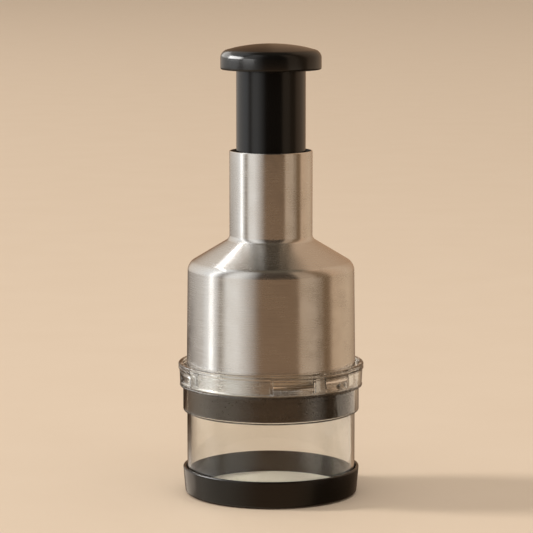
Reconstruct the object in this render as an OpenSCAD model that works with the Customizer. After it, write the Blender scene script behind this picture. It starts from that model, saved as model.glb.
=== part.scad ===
// Push-down hand chopper: steel housing on a clear chamber, zigzag blades under a palm knob.
// Millimetres, +Z up, origin on the table under the middle of the base.
// Angles round the axis are measured from the front (-Y) towards the right (+X).

/* [Base cup] */
// How far the foot ring stands out below the base cup
foot_proud = 0.5; // [0.3:0.1:1.5]
// Depth of the groove that holds the foot ring
foot_groove = 1.1; // [0.6:0.1:1.3]
// Middle radius of the foot ring
foot_r = 35; // [28:0.5:37]
// Width of the foot ring
foot_w = 4; // [2:0.5:6]
// Thickness of the base cup's floor
base_floor = 2.1; // [1.8:0.1:4]
// Height of the base cup's rim above the table
base_h = 13.5; // [9:0.5:20]
// Wall of the base cup at its rim
base_wall = 1.55; // [1.2:0.05:3]
// How much narrower the base cup is at the table than at its rim
base_draft = 1.15; // [0.6:0.05:1.2]
// Gap between the base rim and the chamber
base_gap = 0.6; // [0.4:0.1:1.5]
// Gap between the base cup and the chamber's foot
base_fit = 0.3; // [0.2:0.05:0.4]
// Radius on the base cup's lower edge
base_round = 1.2; // [0.5:0.1:1.6]
// Thickness of the cutting board
board_t = 2; // [1.5:0.1:4]
// Gap round the cutting board inside the chamber
board_gap = 0.9; // [0.5:0.1:2]

/* [Chamber] */
// Outer radius of the chamber's lower wall
chamber_r = 41.1; // [38:0.1:46]
// Wall of the clear chamber
chamber_wall = 1.8; // [1.4:0.1:2.2]
// Depth of the chamber from its foot to the ledge that carries the blade guard
chamber_deep = 39.4; // [30:0.1:48]
// How far the chamber widens above that ledge
chamber_step = 1.95; // [1.8:0.05:2.2]
// Thickness of the ledge under the blade guard
ledge_t = 1; // [0.8:0.1:2]
// Height of the collar, lip and floor included
collar_h = 11.5; // [10:0.1:13]
// Thickness of the collar's floor
collar_floor = 1; // [0.8:0.1:2]
// Wall of the collar at its floor
collar_wall = 1.3; // [1:0.1:2]
// How much wider the collar is below its lip than at its floor
collar_flare = 0.4; // [0:0.1:1]
// Gap between the bayonet studs and the collar
collar_gap = 0.5; // [0.4:0.1:1]
// How far the lip stands out of the collar
lip_out = 0.5; // [0.3:0.05:0.8]
// Height of the lip
lip_h = 3.2; // [2:0.1:4]
// Radius on the outer edges of the chamber
chamber_round = 0.7; // [0.3:0.1:0.75]

/* [Bayonet] */
// Angle of the first stud from the front
stud_turn = 53; // [45:1:56]
// Angle that the housing turns from locked to open
lock_turn = 20; // [14:1:22]
// Radius of a stud's head
stud_r = 2.2; // [1.5:0.1:2.3]
// Height of a stud's head
stud_head = 1.3; // [1:0.1:1.6]
// Radius of a stud's shank
shank_r = 1.1; // [0.8:0.1:1.4]
// Height of a stud's axis above the shell's lower edge
stud_rise = 3.5; // [3.4:0.1:4]
// Gap between a stud and the ribs round it
stud_gap = 0.35; // [0.3:0.05:0.5]
// Thickness of the ribs inside the collar
rib_t = 0.8; // [0.6:0.1:1]
// Length of the guide rib in front of the entry gap, as an angle
guide_turn = 29; // [10:1:30]

/* [Blade guard] */
// Height of the guard's rim
guard_rim_h = 9; // [8:0.1:12]
// Width of the guard's rim
guard_rim_w = 2.1; // [1.5:0.1:2.4]
// Gap between the guard's rim and the chamber
guard_gap = 0.5; // [0.3:0.1:1]
// Height of the slotted plate's underside above the ledge
guard_sink = 1.2; // [0.5:0.1:3]
// Thickness of the slotted plate
guard_plate = 2.8; // [2:0.1:4]
// Radius of the hub under the plate
guard_hub_r = 8.2; // [6:0.1:12]
// Depth of the hub under the plate
guard_hub_h = 3; // [1:0.1:4]
// Gap between a blade and the sides of its slot
slot_gap = 0.4; // [0.3:0.05:0.6]
// Play between the guard's rim and the frame above it
guard_play = 0.3; // [0.2:0.05:0.6]

/* [Blades] */
// Thickness of the blade strip
blade_t = 0.6; // [0.5:0.1:1.2]
// Number of straight legs in the zigzag
blade_legs = 6; // [4:2:6]
// Radius of a bend at the middle of the strip
bend_r = 2; // [1.6:0.1:2.6]
// Half the length of the chord on which the strip ends
blade_end_y = 12; // [8:0.5:16]
// Gap between the strip's bends and the chamber wall
blade_gap = 2.9; // [2.5:0.1:4]
// Height of the ground edge
bevel_h = 2.2; // [1:0.1:4]
// How far the edge stays up inside the guard's slots
edge_cover = 0.3; // [0.1:0.1:1]
// Gap left between the edge and the board at the end of the stroke
tip_gap = 0.4; // [0.3:0.1:1]
// Depth of the slot that holds the strip in its carrier
blade_seat = 4.5; // [3:0.1:5]

/* [Carrier and shaft] */
// Gap left between the carrier and the guard at the end of the stroke
carrier_gap = 0.5; // [0.4:0.1:2]
// Thickness of the carrier's disc
carrier_plate = 6; // [5.5:0.1:8]
// Height of the ribs on the carrier
carrier_rib = 2; // [1:0.1:4]
// How far the carrier reaches past the blades
carrier_edge = 0.6; // [0.2:0.1:0.8]
// Radius of the shaft
shaft_r = 2.5; // [2:0.1:2.8]
// Running clearance of the hub on the shaft
shaft_fit = 0.05; // [0.03:0.01:0.09]
// Wall of the carrier's hub
hub_wall = 3; // [2.5:0.1:4]
// Radius of the cam pins
pin_r = 1.4; // [1:0.1:1.6]
// Angle that the blades turn over one stroke
index_turn = 60; // [30:5:90]
// Radius of the washer under the hub
washer_r = 3.9; // [3.6:0.1:4]
// Thickness of the washers
washer_t = 1; // [0.6:0.1:1.5]
// Height of the screw head under the hub
shaft_head = 2; // [1:0.1:2.5]
// Height of the nut on top of the shaft
nut_h = 4; // [2:0.5:5]

/* [Frame and cam] */
// Wall of the frame's skirt at its top
skirt_wall = 1.8; // [1.2:0.1:2]
// Gap between the frame and the steel shell
skirt_gap = 0.3; // [0.2:0.1:0.6]
// Thickness of the frame's flange under the shell
flange_t = 3.2; // [2:0.1:5]
// Free height above the carrier
crown_gap = 9; // [7:0.5:15]
// Thickness of the frame's top plate
crown_t = 3; // [2:0.1:5]
// Height of the ribs and bosses under the top plate
crown_rib = 4; // [2:0.5:5]
// Gap round the turning hub
hub_gap = 0.35; // [0.3:0.05:0.6]
// Wall of the cam sleeve
cam_wall = 2.2; // [1.6:0.1:3]
// Thickness of the cam sleeve's flange
cam_flange = 2.5; // [2:0.1:4]
// Gap between a cam pin and its slot
cam_gap = 0.35; // [0.3:0.05:0.6]
// Material left below and above a cam slot
cam_end = 3; // [2:0.5:6]
// Radius of the screw heads
screw_head_r = 2.4; // [2:0.1:3]
// Height of the screw heads
screw_head_h = 2; // [1.2:0.1:3]
// Radius of the screw shanks
screw_r = 1.2; // [0.8:0.1:1.6]

/* [Steel shell] */
// Sheet thickness of the shell
shell_wall = 0.8; // [0.6:0.1:1]
// How far the shell stands outside of the chamber's bore
shell_lap = 0.1; // [0:0.05:0.3]
// How much narrower the shell is at its shoulder than at its lower edge
shell_draft = 0.75; // [0.2:0.05:1]
// Height of the turned-out hem at the lower edge
hem_h = 1; // [0.8:0.1:1.2]
// Height of the shoulder's edge above the frame
shoulder_room = 8.4; // [3.5:0.1:10]
// Height of the sloping shoulder
shoulder_rise = 12.3; // [10:0.1:22]
// Radius on the shoulder's edge
shoulder_round = 5.5; // [2:0.5:7]
// Radius where the shoulder meets the neck
neck_round = 3; // [1.5:0.5:4]
// Wall of the guide bush in the neck
bush_wall = 2.2; // [1.5:0.1:3.5]
// Length of the guide bush
bush_len = 11.7; // [6:0.1:18]
// Depth of the bush below the neck's rim
bush_recess = 2; // [1:0.1:4]

/* [Plunger] */
// Sliding clearance between the plunger tube and its bush
slide_gap = 0.3; // [0.2:0.05:0.5]
// Wall of the plunger tube
tube_wall = 1.75; // [1.2:0.05:3]
// How far the stop lip stands out at the tube's lower end
stop_out = 1.4; // [0.8:0.1:1.8]
// Height of the stop lip
stop_h = 2.5; // [1.5:0.1:4]
// Free height under the tube at the end of the stroke
plunge_room = 4; // [2:0.5:8]
// Thickness of the web across the tube
web_t = 3; // [2:0.1:5]
// Free height above the cam sleeve at the end of the stroke
web_room = 0.8; // [0.5:0.1:3]
// Diameter of the spring's wire
wire_d = 1.8; // [1:0.1:2.2]
// Gap between the spring and the cam sleeve
spring_gap = 1.5; // [0.8:0.1:3]
// Gap between the spring and the plunger tube
spring_room = 3.7; // [1.5:0.1:5]
// Turns of the spring
spring_turns = 11; // [7:1:14]
// Gap between the turns of the spring's closed ends
end_gap = 0.5; // [0.45:0.05:1]
// Radius of the palm knob
knob_r = 24.5; // [21:0.1:30]
// Height of the knob's side up to its upper edge
knob_side = 8.8; // [7.5:0.1:12]
// Radius on the knob's upper edge
knob_round = 4; // [2.5:0.1:5]
// Height of the knob's dome above that edge
knob_dome = 3.7; // [1:0.1:5]
// Radius on the knob's lower edge
knob_under = 1; // [0.5:0.1:2]
// Depth of the socket that takes the tube
socket_deep = 5.8; // [5:0.1:8]
// Gap left between the knob and the neck at the end of the stroke
knob_gap = 0.7; // [0.5:0.1:3]

/* [Hidden] */
$fn = 96;

// Seat clearance between two pieces of one body
seat_fit = 0.05;
// Overlap of a cutter past the face that it opens, and of a rib into the wall that carries it
bite = 0.4;
// Threads and ribs that repeat round the axis
stud_count = 3;
screw_count = 3;
rib_count = 6;
fillet_steps = 6;
// Share of the knob's radius over which its top is a true dome
dome_share = 0.7;

// Heights of the lower half, from the table up to the blade guard
z_cup = foot_proud;
z_floor = z_cup + base_floor;
z_board = z_floor + board_t;
z_ledge = z_floor + chamber_deep;
z_plate = z_ledge + guard_sink;
z_plate_top = z_plate + guard_plate;
z_guard_top = z_ledge + guard_rim_h;
z_flange = z_guard_top + guard_play;
z_seat = z_flange + flange_t;
z_collar = z_seat - collar_floor;
z_collar_top = z_collar + collar_h;
z_stud = z_seat + stud_rise;

// The stroke takes the edge from inside the guard down to the board
z_edge = z_plate + edge_cover;
stroke = z_edge - z_board - tip_gap;
turn_rate = index_turn / stroke;

// Heights of the carrier, the frame and the cam
z_carrier = z_plate_top + stroke + carrier_gap;
z_carrier_top = z_carrier + carrier_plate + carrier_rib;
z_crown = z_carrier_top + crown_gap;
z_frame = z_crown + crown_t;
z_cam = z_frame + cam_flange;
z_pin = z_cam + cam_end + stroke + pin_r + cam_gap;
z_cam_top = z_pin + pin_r + cam_gap + cam_end;
z_hub_top = z_pin + pin_r + cam_end;

// Heights of the shell and the plunger
z_shoulder = z_frame + shoulder_room;
z_neck = z_shoulder + shoulder_rise;
z_tube = z_cam + screw_head_h + plunge_room + stroke;
z_bush = z_tube + stop_h + slide_gap;
z_neck_top = z_bush + bush_len + bush_recess;
z_knob = z_neck_top + stroke + knob_gap;
z_tube_top = z_knob + socket_deep;
z_knob_top = z_knob + knob_side + knob_dome;
z_washer = z_cam_top + stroke + web_room;
z_web = z_washer + washer_t;

// Radii from the chamber outwards
low_in = chamber_r - chamber_wall;
up_out = chamber_r + chamber_step;
up_in = up_out - chamber_wall;
guard_r = up_in - guard_gap;
shell_r = up_in + shell_lap;
shell_top_r = shell_r - shell_draft;
collar_in = shell_r + stud_head + collar_gap;
collar_out = collar_in + collar_wall;
base_r = chamber_r + base_gap + base_wall;
base_low_r = base_r - base_draft;

// Radii from the shaft outwards
hub_in = shaft_r + shaft_fit;
hub_r = hub_in + hub_wall;
cam_in = hub_r + hub_gap;
cam_r = cam_in + cam_wall;
spring_r = cam_r + spring_gap + wire_d / 2;
tube_in = spring_r + wire_d / 2 + spring_room;
tube_r = tube_in + tube_wall;
bush_in = tube_r + slide_gap;
neck_in = bush_in + bush_wall + seat_fit;
neck_r = neck_in + shell_wall;
screw_orbit = spring_r + wire_d / 2 + screw_head_r + 2 * bite;
cam_flange_r = screw_orbit + screw_head_r + bite;
skirt_in = shell_top_r - shell_wall - skirt_gap - skirt_wall;

// The zigzag: bends on one circle, alternately at the back and at the front
blade_reach = low_in - blade_gap;
bend_orbit = blade_reach - blade_t / 2 - bend_r;
leg_pitch = 2 * sqrt(bend_orbit ^ 2 - blade_end_y ^ 2) / blade_legs;
z_blade_top = z_carrier + blade_seat;
carrier_r = blade_reach + carrier_edge;

// Rotation about +Z for an angle measured from the front
function from_front(a) = a - 90;

function unit(v) = v / norm(v);
function polar(r, a) = r * [cos(a), sin(a)];
function flip(list) = [for (i = [len(list) - 1:-1:0]) list[i]];

// Points of the arc of radius r that rounds the corner p between its neighbours a and b
function fillet(a, p, b, r, n = fillet_steps) =
    let (
        u = unit(a - p),
        w = unit(b - p),
        half = acos(u * w) / 2,
        middle = p + unit(u + w) * r / sin(half),
        first = p + u * r / tan(half) - middle,
        start = atan2(first.y, first.x),
        sweep = (cross(u, w) > 0 ? -1 : 1) * (180 - 2 * half)
    )
    [for (i = [0:n]) middle + polar(r, start + sweep * i / n)];

// Bend i of the zigzag: its middle, its radius, and its turn, 1 to the left and -1 to the right
function bend_middle(i) =
    let (x = leg_pitch * (i - blade_legs / 2))
    [x, (i % 2 == 0 ? 1 : -1) * sqrt(bend_orbit ^ 2 - x ^ 2)];
function bend_radius(i) = i == 0 || i == blade_legs ? 0 : bend_r;
function bend_side(i) = i % 2 == 0 ? -1 : 1;

// Direction of the straight leg from bend i to the next, which touches both bends
function leg_angle(i) =
    let (d = bend_middle(i + 1) - bend_middle(i))
    atan2(d.y, d.x) + bend_side(i) * asin((bend_radius(i) + bend_radius(i + 1)) / norm(d));

// Points of bend i on a line that runs beside the strip's middle, with the two ends run out by extra
function bend_points(i, beside, extra) =
    let (
        enter = leg_angle(max(i - 1, 0)) - bend_side(i) * 90,
        leave = leg_angle(min(i, blade_legs - 1)) - bend_side(i) * 90,
        r = bend_radius(i) - bend_side(i) * beside,
        run_out = i == 0 ? -polar(extra, leg_angle(0)) : polar(extra, leg_angle(blade_legs - 1))
    )
    bend_radius(i) == 0
        ? [bend_middle(i) + polar(r, enter) + run_out]
        : [for (k = [0:fillet_steps]) bend_middle(i) + polar(r, enter + (leave - enter) * k / fillet_steps)];

function strip_line(beside, extra = 0) = [for (i = [0:blade_legs]) each bend_points(i, beside, extra)];

// Outline of the strip's top view, widened by gap all round
module strip_outline(gap) {
    polygon(concat(
        strip_line(blade_t / 2 + gap, gap),
        flip(strip_line(-blade_t / 2 - gap, gap))
    ));
}

// A closed solid through rails of equal length, which go anticlockwise round it looking along them
module lofted(rails) {
    sides = len(rails);
    count = len(rails[0]);
    points = [for (rail = rails) each rail];
    skin = [
        for (s = [0:sides - 1], k = [0:count - 2])
        let (a = s * count + k, b = ((s + 1) % sides) * count + k)
        each [[a, b, a + 1], [b, b + 1, a + 1]]
    ];
    ends = [
        for (s = [1:sides - 2])
        each [
            [0, (s + 1) * count, s * count],
            [count - 1, s * count + count - 1, (s + 1) * count + count - 1]
        ]
    ];
    polyhedron(points, concat(skin, ends));
}

// A ring of rectangular section
module ring(r_in, r_out, z_low, z_high) {
    translate([0, 0, z_low])
    difference() {
        cylinder(h = z_high - z_low, r = r_out);
        translate([0, 0, -bite]) cylinder(h = z_high - z_low + 2 * bite, r = r_in);
    }
}

module disc(r, z_low, z_high) {
    translate([0, 0, z_low]) cylinder(h = z_high - z_low, r = r);
}

// Black cup that closes the chamber from below, with a groove for the foot ring
module base_cup() {
    rim = [base_r, base_h];
    low = [base_low_r, z_cup];
    color("#1d1c1c")
    difference() {
        rotate_extrude()
        polygon(concat(
            [[0, z_cup]],
            fillet([0, z_cup], low, rim, base_round),
            fillet(low, rim, [chamber_r + base_gap, base_h], base_wall / 3),
            [
                [chamber_r + base_gap, base_h],
                [chamber_r + base_fit, z_floor],
                [0, z_floor]
            ]
        ));
        ring(foot_r - foot_w / 2 - seat_fit, foot_r + foot_w / 2 + seat_fit, z_cup - bite, z_cup + foot_groove);
    }
}

// Flat board that the blades come down on
module cutting_board() {
    r = low_in - board_gap;
    edge = board_t / 4;
    color("#e6e2d8")
    rotate_extrude()
    polygon([[0, z_floor], [r, z_floor], [r, z_board - edge], [r - edge, z_board], [0, z_board]]);
}

// Soft ring that the chopper stands on
module foot_ring() {
    color("#2b2a2a")
    ring(foot_r - foot_w / 2, foot_r + foot_w / 2, 0, z_cup + foot_groove);
}

// Clear chamber: plain lower wall, wider seat for the guard, and a collar with the bayonet tracks
module chamber() {
    z_step = z_ledge - ledge_t;
    z_lip = z_collar_top - lip_h;
    flare_r = collar_out + collar_flare;
    lip_r = flare_r + lip_out;
    step_corner = [up_out, z_step];
    floor_corner = [collar_out, z_collar];
    lip_low = [lip_r, z_lip];
    lip_top = [lip_r, z_collar_top];
    color("#dfe6e4", 0.35) {
        rotate_extrude()
        polygon(concat(
            [
                [low_in, z_floor],
                [chamber_r - chamber_round, z_floor],
                [chamber_r, z_floor + chamber_round],
                [chamber_r, z_step]
            ],
            fillet([chamber_r, z_step], step_corner, [up_out, z_collar], chamber_round),
            [[up_out, z_collar]],
            fillet([up_out, z_collar], floor_corner, [flare_r, z_lip], chamber_round),
            [[flare_r, z_lip]],
            fillet([flare_r, z_lip], lip_low, lip_top, lip_out / 2),
            fillet(lip_low, lip_top, [collar_in, z_collar_top], chamber_round),
            [
                [collar_in, z_collar_top],
                [collar_in, z_seat],
                [up_in, z_seat],
                [up_in, z_ledge],
                [low_in, z_ledge]
            ]
        ));
        for (k = [0:stud_count - 1]) {
            rotate([0, 0, 360 / stud_count * k]) bayonet_track();
        }
    }
}

// Ribs of one bayonet track: a roof over the locked stud, a stop behind it and a guide before the gap
module bayonet_track() {
    r_in = shell_r + stud_head - 2 * stud_gap;
    r_post = r_in - stud_gap / 2;
    half_head = asin((stud_r + stud_gap) / shell_r);
    post_turn = asin(1.5 * rib_t / shell_r);
    gap_low = stud_turn - lock_turn - half_head;
    gap_high = stud_turn - lock_turn + half_head;
    stop = stud_turn + half_head;
    z_roof = z_stud + stud_r + stud_gap;
    guide_low = gap_low - guide_turn;
    arc_rib(r_in, z_roof, z_roof + rib_t, gap_high, stop + post_turn / 2);
    arc_rib(r_in, z_stud - rib_t / 2, z_stud + rib_t / 2, guide_low, gap_low - post_turn / 2);
    for (low = [stop, gap_low - post_turn, guide_low - post_turn / 2]) {
        arc_rib(r_post, z_stud - stud_r, z_roof + rib_t / 2, low, low + post_turn);
    }
}

// A rib inside the collar, between two heights and two angles from the front
module arc_rib(r_in, z_low, z_high, a_low, a_high) {
    rotate([0, 0, from_front(a_low)])
    rotate_extrude(angle = a_high - a_low)
    translate([r_in, z_low])
    square([collar_in + bite - r_in, z_high - z_low]);
}

// Black guard that strips the blades: a slotted plate in a rim that turns on the chamber's ledge
module blade_guard() {
    color("#26211f")
    difference() {
        union() {
            ring(guard_r - guard_rim_w, guard_r, z_ledge, z_guard_top);
            disc(guard_r - guard_rim_w + bite, z_plate, z_plate_top);
            disc(guard_hub_r, z_plate - guard_hub_h, z_plate + bite);
        }
        translate([0, 0, z_plate - guard_hub_h - bite])
        linear_extrude(guard_hub_h + guard_plate + 2 * bite)
        strip_outline(slot_gap);
    }
}

// Brushed steel shell: drawn body, sloping shoulder and neck from one sheet, hemmed at its lower edge
module steel_shell() {
    slope = atan2(shell_top_r - neck_r, shoulder_rise);
    inset = [-shell_wall, -shell_wall * tan(slope / 2)];
    foot = [shell_r, z_seat + hem_h];
    shoulder = [shell_top_r, z_shoulder];
    root = [neck_r, z_neck];
    top = [neck_r, z_neck_top];
    in_foot = [shell_r - shell_wall, z_seat];
    in_shoulder = shoulder + inset;
    in_root = root + inset;
    in_top = [neck_in, z_neck_top];
    color("#b9b2a8")
    difference() {
        rotate_extrude()
        polygon(concat(
            [[shell_r + shell_wall, z_seat], [shell_r + shell_wall, z_seat + hem_h], foot],
            fillet(foot, shoulder, root, shoulder_round),
            fillet(shoulder, root, top, neck_round),
            fillet(root, top, in_top, shell_wall / 3),
            [in_top],
            fillet(in_top, in_root, in_shoulder, neck_round + shell_wall),
            fillet(in_root, in_shoulder, in_foot, shoulder_round - shell_wall),
            [in_foot]
        ));
        at_studs() cylinder(h = shell_r, r = shank_r + seat_fit);
    }
}

// Places its children at each stud, with +Z pointing outwards from the axis
module at_studs() {
    for (k = [0:stud_count - 1]) {
        rotate([0, 0, from_front(stud_turn + 360 / stud_count * k)])
        translate([0, 0, z_stud])
        rotate([0, 90, 0])
        children();
    }
}

// Steel studs that rivet the shell to its frame, with heads that run in the collar's tracks
module bayonet_studs() {
    head_low = shell_r - bite / 4;
    color("#a8a49c")
    difference() {
        at_studs() {
            translate([0, 0, skirt_in + skirt_wall / 2]) cylinder(h = shell_r - skirt_in - skirt_wall / 2, r = shank_r);
            translate([0, 0, head_low]) cylinder(h = shell_r + stud_head - head_low, r = stud_r);
        }
        shell_envelope();
    }
}

// Outside of the shell's body round the studs and its seat clearance, less the holes for the shanks
module shell_envelope() {
    z_foot = z_seat + hem_h;
    difference() {
        translate([0, 0, z_foot])
        cylinder(h = z_shoulder - z_foot, r1 = shell_r + seat_fit, r2 = shell_top_r + seat_fit);
        at_studs() cylinder(h = 2 * shell_r, r = shank_r);
    }
}

// Plain bush that guides the plunger in the neck
module neck_bush() {
    color("#1a1a1a")
    ring(bush_in, bush_in + bush_wall, z_bush, z_bush + bush_len);
}

// Moulded frame inside the shell: skirt, lower flange, top plate with ribs and screw bosses
module inner_frame() {
    skirt_low = shell_r - shell_wall - skirt_gap;
    skirt_top = shell_top_r - shell_wall - skirt_gap;
    color("#26211f")
    difference() {
        union() {
            rotate_extrude()
            polygon([
                [skirt_in, z_flange],
                [guard_r, z_flange],
                [guard_r, z_seat],
                [skirt_low, z_seat],
                [skirt_top, z_frame],
                [cam_in, z_frame],
                [cam_in, z_crown],
                [skirt_in, z_crown]
            ]);
            at_screws() disc(screw_head_r + bite, z_crown - crown_rib, z_crown + bite);
            for (k = [0:rib_count - 1]) {
                rotate([0, 0, 360 / rib_count * (k + 0.5)]) crown_rib();
            }
        }
        at_screws() disc(screw_r + seat_fit, z_crown - crown_rib - bite, z_frame + bite);
        at_studs() translate([0, 0, skirt_in - bite]) cylinder(h = shell_r - skirt_in, r = shank_r + seat_fit);
    }
}

// One radial rib under the frame's top plate
module crown_rib() {
    r_in = cam_in + hub_wall;
    translate([r_in, -skirt_wall / 2, z_crown - crown_rib])
    cube([skirt_in + bite - r_in, skirt_wall, crown_rib + bite]);
}

// Places its children round the axis, at the screws that hold the cam sleeve
module at_screws() {
    for (k = [0:screw_count - 1]) {
        rotate([0, 0, 360 / screw_count * k])
        translate([screw_orbit, 0, 0])
        children();
    }
}

// Fixed sleeve whose two helical slots turn the blades as the plunger goes down
module cam_sleeve() {
    slot_low = z_pin - stroke - pin_r - cam_gap;
    slot_high = z_pin + pin_r + cam_gap;
    tilt = atan(turn_rate * PI / 180 * cam_r);
    slot_w = 2 * (pin_r + cam_gap) / cos(tilt);
    slot_steps = 30;
    color("#c9c4b8")
    difference() {
        union() {
            ring(cam_in, cam_r, z_frame, z_cam_top);
            ring(cam_in, cam_flange_r, z_frame, z_cam);
        }
        lofted([
            for (corner = [[1, 1], [1, -1], [-1, -1], [-1, 1]])
            [
                for (k = [0:slot_steps])
                let (
                    z = slot_low + (slot_high - slot_low) * k / slot_steps,
                    a = turn_rate * (z_pin - z),
                    x = corner.x * (cam_r + bite),
                    y = corner.y * slot_w / 2
                )
                [x * cos(a) - y * sin(a), x * sin(a) + y * cos(a), z]
            ]
        ]);
        at_screws() disc(screw_r + seat_fit, z_frame - bite, z_cam + bite);
    }
}

// Screws that hold the cam sleeve on the frame
module frame_screws() {
    color("#8f8c86")
    at_screws() {
        disc(screw_r, z_crown - crown_rib + bite, z_cam + bite);
        disc(screw_head_r, z_cam, z_cam + screw_head_h);
    }
}

// Spring round the cam sleeve that lifts the plunger, its end turns laid close
function coil_z(turn) =
    let (
        close = wire_d + end_gap,
        free = z_washer - z_cam - wire_d - 2 * seat_fit,
        open = (free - 2 * close) / (spring_turns - 2)
    )
    turn < 1 ? turn * close
        : turn > spring_turns - 1 ? free - (spring_turns - turn) * close
        : close + (turn - 1) * open;

module return_spring() {
    rings = 8;
    sides = 6;
    z_first = z_cam + wire_d / 2 + seat_fit;
    rails = [
        for (s = [0:sides - 1])
        let (a = 360 / sides * s)
        [
            for (k = [0:rings * spring_turns])
            let (turn = k / rings, r = spring_r + wire_d / 2 * cos(a))
            [
                r * cos(360 * turn),
                r * sin(360 * turn),
                z_first + coil_z(turn) + wire_d / 2 * sin(a)
            ]
        ]
    ];
    gaps = [for (k = [0:rings * (spring_turns - 1)]) coil_z(k / rings + 1) - coil_z(k / rings) - wire_d];
    echo(least_gap_between_spring_turns = min(gaps));
    color("#9a968e")
    lofted(rails);
}

// Palm knob, pushed over the top of the plunger tube
module push_knob() {
    foot = [knob_r, z_knob];
    edge = [knob_r, z_knob + knob_side];
    socket_r = tube_r + seat_fit;
    dome_r = (knob_r ^ 2 + knob_dome ^ 2) / (2 * knob_dome);
    dome_turn = asin(dome_share * knob_r / dome_r);
    dome = [
        for (i = [fillet_steps:-1:0])
        [0, z_knob_top - dome_r] + polar(dome_r, 90 - dome_turn * i / fillet_steps)
    ];
    color("#171717")
    rotate_extrude()
    polygon(concat(
        [[socket_r, z_tube_top], [socket_r, z_knob]],
        fillet([socket_r, z_knob], foot, edge, knob_under),
        fillet(foot, edge, dome[0], knob_round),
        dome,
        [[0, z_tube_top]]
    ));
}

// Plunger tube with a stop lip below and a web across it that carries the shaft
module plunger_tube() {
    color("#1a1a1a")
    difference() {
        union() {
            ring(tube_in, tube_r, z_tube, z_tube_top);
            ring(tube_in, tube_r + stop_out, z_tube, z_tube + stop_h);
            disc(tube_in + bite, z_web, z_web + web_t);
        }
        disc(shaft_r - bite + seat_fit, z_web - bite, z_web + web_t + bite);
    }
}

// Steel shaft: stepped top through the web, collar that pushes on the blade carrier's hub
module plunger_shaft() {
    color("#b5b1a9")
    difference() {
        union() {
            disc(shaft_r, z_carrier + washer_t + shaft_head + bite, z_web);
            disc(hub_r - hub_gap, z_hub_top, z_hub_top + cam_end);
            disc(shaft_r - bite, z_web - bite, z_web + web_t + nut_h + bite);
        }
        disc(screw_r + seat_fit, z_carrier, z_carrier + washer_t + shaft_head + 4 * shaft_r);
    }
}

// Nut that clamps the shaft to the web
module shaft_nut() {
    nut_r = 2 * shaft_r;
    z_nut = z_web + web_t;
    color("#a8a49c")
    difference() {
        translate([0, 0, z_nut]) cylinder(h = nut_h, r = nut_r, $fn = 6);
        disc(shaft_r - bite + seat_fit, z_nut - bite, z_nut + nut_h + bite);
    }
}

// Washer between the spring and the web
module spring_washer() {
    color("#8f8c86")
    ring(shaft_r + seat_fit, spring_r + wire_d, z_washer, z_web);
}

// Washer that holds the carrier's hub on the shaft
module shaft_washer() {
    z_low = z_carrier + shaft_head + bite;
    color("#a8a49c")
    ring(screw_r + seat_fit, washer_r, z_low, z_low + washer_t);
}

// Screw in the shaft's lower end
module shaft_screw() {
    z_head = z_carrier + bite;
    color("#8f8c86") {
        disc(washer_r - bite, z_head, z_head + shaft_head);
        disc(screw_r, z_head + shaft_head - bite, z_head + shaft_head + washer_t + 3 * shaft_r);
    }
}

// Black carrier that holds the blade strip and turns on the shaft, with a long hub up through the cam
module blade_carrier() {
    z_bore = z_carrier + shaft_head + washer_t + bite;
    z_top = z_carrier + carrier_plate;
    color("#2c2725")
    difference() {
        union() {
            disc(carrier_r, z_carrier, z_top);
            disc(hub_r, z_carrier, z_hub_top);
            ring(carrier_r - skirt_wall, carrier_r, z_top - bite, z_carrier_top);
            for (k = [0:rib_count - 1]) {
                rotate([0, 0, 360 / rib_count * k])
                translate([hub_in + hub_wall / 2, -skirt_wall / 2, z_top - bite])
                cube([carrier_r - hub_in - hub_wall, skirt_wall, carrier_rib + bite]);
            }
        }
        disc(hub_in, z_carrier - bite, z_hub_top + bite);
        disc(washer_r + hub_gap, z_carrier - bite, z_bore);
        translate([0, 0, z_carrier - bite]) linear_extrude(blade_seat + bite + seat_fit) strip_outline(seat_fit);
        at_pins(seat_fit);
    }
}

// One blade strip, bent to a zigzag and ground along its lower edge
module blade_strip() {
    half = blade_t / 2;
    section = [[0, z_edge], [half, z_edge + bevel_h], [half, z_blade_top], [-half, z_blade_top], [-half, z_edge + bevel_h]];
    color("#c4c2bd")
    lofted([for (p = section) [for (q = strip_line(p.x)) [q.x, q.y, p.y]]]);
}

// The two cam pins, grown by gap where they cut their holes
module at_pins(gap) {
    pin_in = hub_in + hub_wall / 3;
    for (side = [0, 180]) {
        rotate([0, 0, side])
        translate([pin_in - gap, 0, z_pin])
        rotate([0, 90, 0])
        cylinder(h = cam_r - bite - pin_in + 2 * gap, r = pin_r + gap);
    }
}

// Steel pins across the hub that run in the cam's slots
module cam_pins() {
    color("#b5b1a9")
    at_pins(0);
}

base_cup();
cutting_board();
foot_ring();
chamber();
blade_guard();
steel_shell();
bayonet_studs();
neck_bush();
inner_frame();
cam_sleeve();
frame_screws();
return_spring();
push_knob();
plunger_tube();
plunger_shaft();
shaft_nut();
spring_washer();
shaft_washer();
shaft_screw();
blade_carrier();
blade_strip();
cam_pins();
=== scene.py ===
"""Push-down hand chopper: steel housing, clear chamber and black plastic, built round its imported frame."""
import math

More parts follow.
